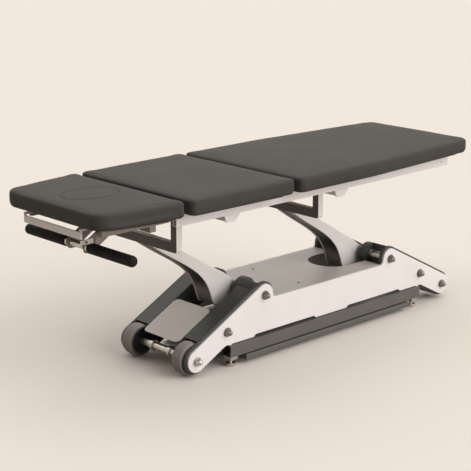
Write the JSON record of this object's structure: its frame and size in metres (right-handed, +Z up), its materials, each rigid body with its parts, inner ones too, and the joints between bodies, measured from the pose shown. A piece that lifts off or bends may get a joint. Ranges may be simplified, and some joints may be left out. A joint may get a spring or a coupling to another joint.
{
  "type": "height-adjustable chiropractic treatment table",
  "caption": "Three-section padded treatment table on two parallel swinging arms and a low electric base, with a tilting head section, foot switch bars and transport wheels.",
  "frame": {"origin": "on the floor under the middle of the table's outer box", "axes": "+X towards the foot end, +Y towards the far side, +Z up"},
  "size_m": [1.983, 0.6596, 0.722],
  "materials": {
    "white_paint": "satin off-white powder coat",
    "grey_paint": "satin light grey powder coat",
    "beige_paint": "satin beige-grey powder coat",
    "charcoal_paint": "satin charcoal powder coat",
    "base_grey_paint": "matte dark grey powder coat",
    "cushion_leather": "matte grey artificial leather over foam",
    "plywood": "dark stained plywood",
    "tyre_rubber": "matte grey-brown rubber",
    "grip_foam": "black foam rubber",
    "black_plastic": "black moulded plastic",
    "bolt_steel": "dull nickel-plated steel",
    "bright_steel": "zinc-plated steel"
  },
  "bodies": {
    "base": {"side_plate_near": "white_paint", "base_rail_near": "base_grey_paint", "cover_screw_near": "bolt_steel", "head_beam_near": "charcoal_paint", "bearing_drum_head_near": "charcoal_paint", "levelling_foot_head_near": "bright_steel", "foot_beam_near": "charcoal_paint", "bearing_drum_foot_near": "charcoal_paint", "levelling_foot_foot_near": "bright_steel", "side_plate_far": "white_paint", "base_rail_far": "base_grey_paint", "cover_screw_far": "bolt_steel", "head_beam_far": "charcoal_paint", "bearing_drum_head_far": "charcoal_paint", "levelling_foot_head_far": "bright_steel", "foot_beam_far": "charcoal_paint", "bearing_drum_foot_far": "charcoal_paint", "levelling_foot_foot_far": "bright_steel", "hub_axle_head": "bolt_steel", "hub_axle_foot": "bolt_steel", "wheel_axle": "bright_steel", "tie_rod_head": "bolt_steel", "tie_rod_foot": "bolt_steel", "tie_rod_foot_end": "bolt_steel", "base_cover": "beige_paint", "head_end_panel": "beige_paint", "cross_tube_head": "base_grey_paint", "cross_tube_middle": "base_grey_paint", "cross_tube_foot": "base_grey_paint", "lift_drive_body": "black_plastic", "control_box": "black_plastic"},
    "wheel_near": {"wheel_hub_near": "black_plastic", "wheel_tyre_near": "tyre_rubber"},
    "wheel_far": {"wheel_hub_far": "black_plastic", "wheel_tyre_far": "tyre_rubber"},
    "switch_bar_near": {"foot_switch_bar_near": "base_grey_paint"},
    "switch_bar_far": {"foot_switch_bar_far": "base_grey_paint"},
    "head_arm_body": {"head_arm": "grey_paint"},
    "foot_arm_body": {"foot_arm": "grey_paint"},
    "drive_rod": {"lift_drive_rod": "bright_steel"},
    "top_frame": {"top_rail_near": "white_paint", "top_rail_far": "white_paint", "top_member_head": "white_paint", "top_member_foot": "white_paint", "middle_board": "plywood", "leg_board": "plywood", "middle_cushion": "cushion_leather", "leg_cushion": "cushion_leather", "gas_spring_cylinder": "black_plastic", "tilt_hinge_pin": "bright_steel"},
    "gas_rod": {"gas_spring_rod": "bright_steel"},
    "head_section": {"head_frame": "beige_paint", "head_board": "plywood", "head_cushion": "cushion_leather", "head_end_bar": "beige_paint", "handle_tube": "bright_steel", "handle_grip_near": "grip_foam", "handle_grip_far": "grip_foam"},
    "lever_body": {"release_lever": "bright_steel"},
    "plug": {"face_plug": "cushion_leather"}
  },
  "joints": [
    {"name": "lift", "type": "hinge", "parent": "base", "child": "head_arm_body", "pos_m": [-0.1425, 0, 0.247], "axis": [0, 1, 0], "range_deg": [-29, 30]},
    {"name": "foot_arm_swing", "type": "hinge", "parent": "base", "child": "foot_arm_body", "pos_m": [0.5895, 0, 0.247], "axis": [0, 1, 0], "range_deg": [-29, 30]},
    {"name": "top_level", "type": "hinge", "parent": "head_arm_body", "child": "top_frame", "pos_m": [-0.5675, 0, 0.62], "axis": [0, 1, 0], "range_deg": [-30, 29]},
    {"name": "drive_stroke", "type": "slide", "parent": "base", "child": "drive_rod", "axis": [-1, 0, 0], "range_m": [-0.049, 0.0507]},
    {"name": "head_tilt", "type": "hinge", "parent": "top_frame", "child": "head_section", "pos_m": [-0.6265, 0, 0.655], "axis": [0, 1, 0], "range_deg": [-45, 25]},
    {"name": "gas_spring_stroke", "type": "slide", "parent": "top_frame", "child": "gas_rod", "axis": [-1, 0, 0], "range_m": [-0.0268, 0.0149]},
    {"name": "wheel_near_spin", "type": "hinge", "parent": "base", "child": "wheel_near", "pos_m": [-0.4905, -0.1415, 0.066], "axis": [0, 1, 0], "continuous": true},
    {"name": "wheel_far_spin", "type": "hinge", "parent": "base", "child": "wheel_far", "pos_m": [-0.4905, 0.1415, 0.066], "axis": [0, 1, 0], "continuous": true},
    {"name": "switch_bar_near_press", "type": "slide", "parent": "base", "child": "switch_bar_near", "axis": [0, 0, 1], "range_m": [-0.006, 0.004], "stiffness_N_per_m": 8000},
    {"name": "switch_bar_far_press", "type": "slide", "parent": "base", "child": "switch_bar_far", "axis": [0, 0, 1], "range_m": [-0.006, 0.004], "stiffness_N_per_m": 8000},
    {"name": "release_lever_pull", "type": "hinge", "parent": "head_section", "child": "lever_body", "pos_m": [-0.9025, -0.147, 0.598], "axis": [0, 1, 0], "range_deg": [0, 18], "stiffness_Nm_per_rad": 1.5},
    {"name": "face_plug_lift", "type": "slide", "parent": "head_section", "child": "plug", "axis": [0, 0, 1], "range_m": [0, 0.09]}
  ],
  "couplings": [
    {"joint": "foot_arm_swing", "follows": "lift", "ratio": 1},
    {"joint": "top_level", "follows": "lift", "ratio": -1},
    {"joint": "drive_stroke", "follows": "lift", "m_per_rad": 0.0965},
    {"joint": "gas_spring_stroke", "follows": "head_tilt", "m_per_rad": 0.034}
  ]
}
